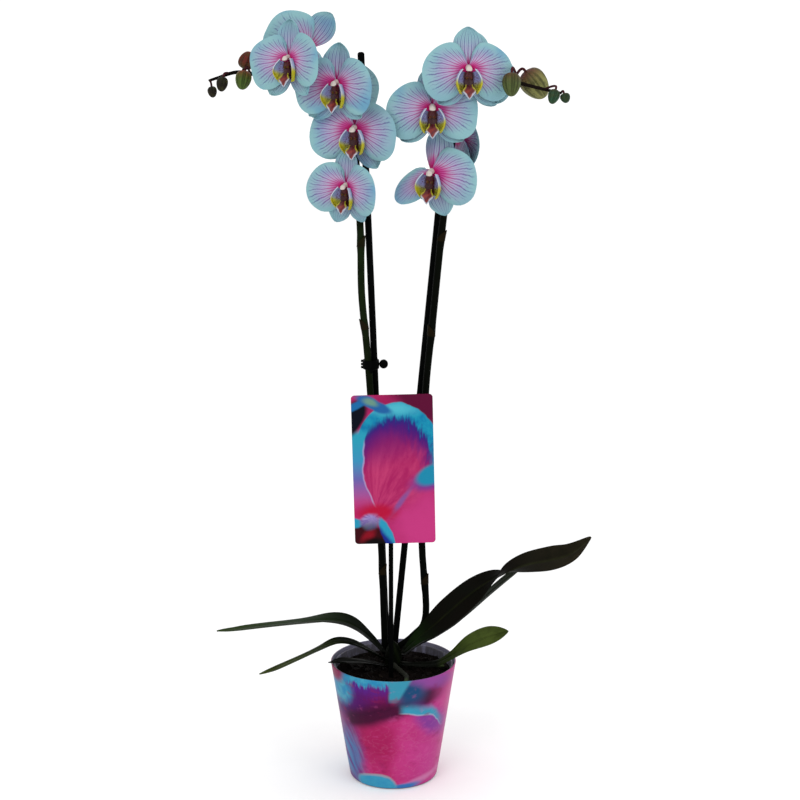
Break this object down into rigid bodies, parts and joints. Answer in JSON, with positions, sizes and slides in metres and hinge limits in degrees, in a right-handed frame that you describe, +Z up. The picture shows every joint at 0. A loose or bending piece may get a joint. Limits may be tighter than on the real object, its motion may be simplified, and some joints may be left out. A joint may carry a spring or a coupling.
{
  "type": "potted orchid",
  "caption": "Moth orchid with two arching flower spikes of pale blue, purple-veined flowers, on dark stakes in a tapered printed pot with a hanging picture card.",
  "frame": {"origin": "middle of the cover pot's flat base, where it stands", "axes": "+Z up along the pot and the plant, -Y is the front that the flowers and the card face"},
  "size_m": [0.3714, 0.1458, 0.7586],
  "materials": {
    "printed_sleeve": "satin",
    "growing_pot_plastic": "satin",
    "bark": "matte",
    "leaf": "satin",
    "root": "matte",
    "stem": "satin",
    "dark_plastic": "satin",
    "printed_card": "satin",
    "bud": "satin",
    "sepal": "matte",
    "petal": "matte",
    "lip": "satin"
  },
  "bodies": {
    "root": {"aerial_root_front": "root", "aerial_root_right": "root", "growing_pot": "growing_pot_plastic", "label_card": "printed_card", "label_stick": "dark_plastic", "leaf_left_long": "leaf", "leaf_left_low": "leaf", "leaf_right_rear": "leaf", "leaf_right_small": "leaf", "leaf_right_twisted": "leaf", "leaf_rim": "leaf", "left_bud_1": "bud", "left_bud_2": "bud", "left_bud_3": "bud", "left_bud_4": "bud", "left_flower_1_lip": "lip", "left_flower_1_petals": "petal", "left_flower_1_sepals": "sepal", "left_flower_2_lip": "lip", "left_flower_2_petals": "petal", "left_flower_2_sepals": "sepal", "left_flower_3_lip": "lip", "left_flower_3_petals": "petal", "left_flower_3_sepals": "sepal", "left_flower_4_lip": "lip", "left_flower_4_petals": "petal", "left_flower_4_sepals": "sepal", "left_flower_5_lip": "lip", "left_flower_5_petals": "petal", "left_flower_5_sepals": "sepal", "left_flower_6_lip": "lip", "left_flower_6_petals": "petal", "left_flower_6_sepals": "sepal", "left_spike": "stem", "left_stake": "dark_plastic", "outer_pot": "printed_sleeve", "plant_crown": "leaf", "potting_bark": "bark", "right_bud_1": "bud", "right_bud_2": "bud", "right_bud_3": "bud", "right_bud_4": "bud", "right_flower_1_lip": "lip", "right_flower_1_petals": "petal", "right_flower_1_sepals": "sepal", "right_flower_2_lip": "lip", "right_flower_2_petals": "petal", "right_flower_2_sepals": "sepal", "right_flower_3_lip": "lip", "right_flower_3_petals": "petal", "right_flower_3_sepals": "sepal", "right_flower_4_lip": "lip", "right_flower_4_petals": "petal", "right_flower_4_sepals": "sepal", "right_flower_5_lip": "lip", "right_flower_5_petals": "petal", "right_flower_5_sepals": "sepal", "right_spike": "stem", "right_stake": "dark_plastic", "stem_clip": "dark_plastic"}
  },
  "joints": []
}
